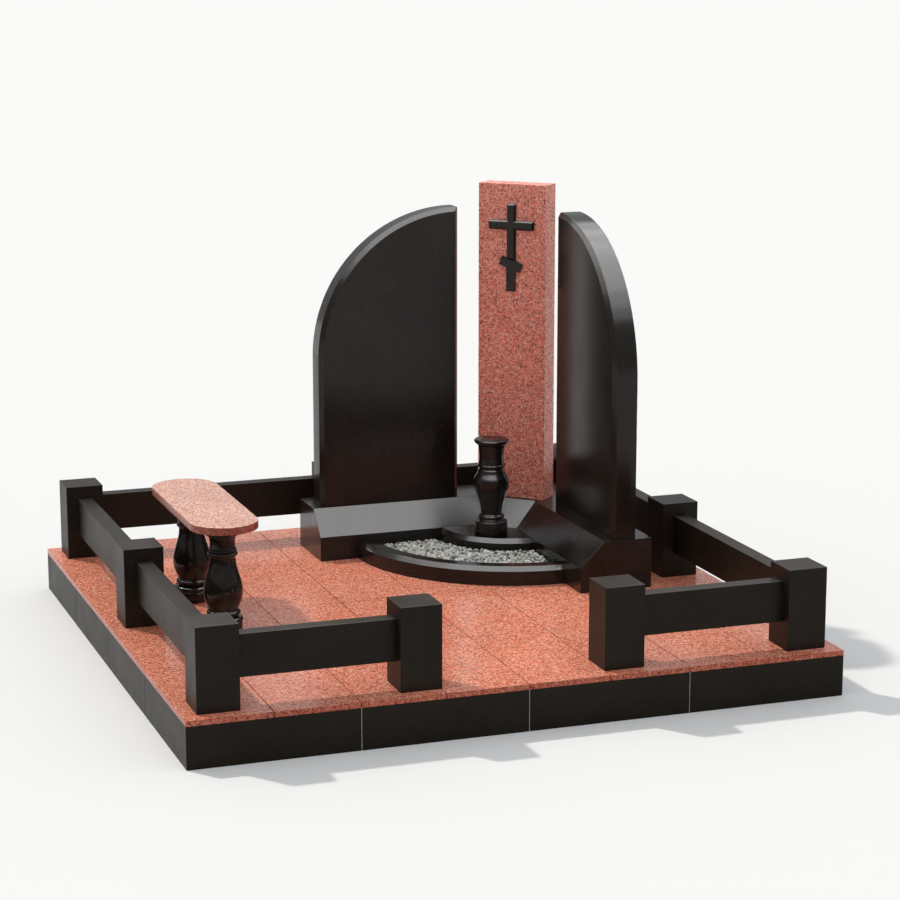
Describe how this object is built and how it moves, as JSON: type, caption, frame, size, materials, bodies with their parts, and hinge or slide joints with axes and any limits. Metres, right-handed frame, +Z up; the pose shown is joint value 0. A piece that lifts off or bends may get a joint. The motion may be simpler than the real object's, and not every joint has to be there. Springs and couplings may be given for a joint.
{
  "type": "granite grave memorial",
  "caption": "Square paved grave plot with black kerb, post-and-rail surround, bench, two round-shouldered stelae, a red pillar with a slanted-bar cross, a pebble bed and a vase.",
  "frame": {"origin": "on the ground, under the middle of the square plot", "axes": "+Z up; -Y is the entrance side; +X is to the right as one walks in, and the headstone group stands in the +X +Y corner"},
  "size_m": [2.421, 2.421, 1.68],
  "materials": {
    "black_granite": "polished",
    "red_granite_paving": "polished",
    "red_granite_pillar": "polished",
    "red_granite_seat": "polished",
    "pebbles": "matt",
    "concrete": "matt"
  },
  "bodies": {
    "root": {"foundation": "concrete", "kerb_front_1": "black_granite", "kerb_front_2": "black_granite", "kerb_front_3": "black_granite", "kerb_front_4": "black_granite", "kerb_back_1": "black_granite", "kerb_back_2": "black_granite", "kerb_back_3": "black_granite", "kerb_back_4": "black_granite", "kerb_left_1": "black_granite", "kerb_left_2": "black_granite", "kerb_left_3": "black_granite", "kerb_left_4": "black_granite", "kerb_right_1": "black_granite", "kerb_right_2": "black_granite", "kerb_right_3": "black_granite", "kerb_right_4": "black_granite", "paving_row_1": "red_granite_paving", "paving_row_2": "red_granite_paving", "paving_row_3": "red_granite_paving", "paving_row_4": "red_granite_paving", "paving_row_5": "red_granite_paving", "paving_row_6": "red_granite_paving", "paving_row_7": "red_granite_paving", "paving_row_8": "red_granite_paving", "post_front_left": "black_granite", "post_entrance_left": "black_granite", "post_entrance_right": "black_granite", "post_front_right": "black_granite", "post_left_middle": "black_granite", "post_right_middle": "black_granite", "post_back_left": "black_granite", "post_back_middle": "black_granite", "post_back_right": "black_granite", "rail_front_left": "black_granite", "rail_front_right": "black_granite", "rail_left_front": "black_granite", "rail_left_back": "black_granite", "rail_right_front": "black_granite", "rail_right_back": "black_granite", "rail_back_left": "black_granite", "rail_back_right": "black_granite", "bench_leg_front": "black_granite", "bench_leg_back": "black_granite", "bench_seat": "red_granite_seat", "base_left": "black_granite", "base_right": "black_granite", "stele_left": "black_granite", "stele_right": "black_granite", "pillar": "red_granite_pillar", "cross": "black_granite", "bed_kerb": "black_granite", "pebbles": "pebbles", "vase_stand": "black_granite", "vase": "black_granite"}
  },
  "joints": []
}
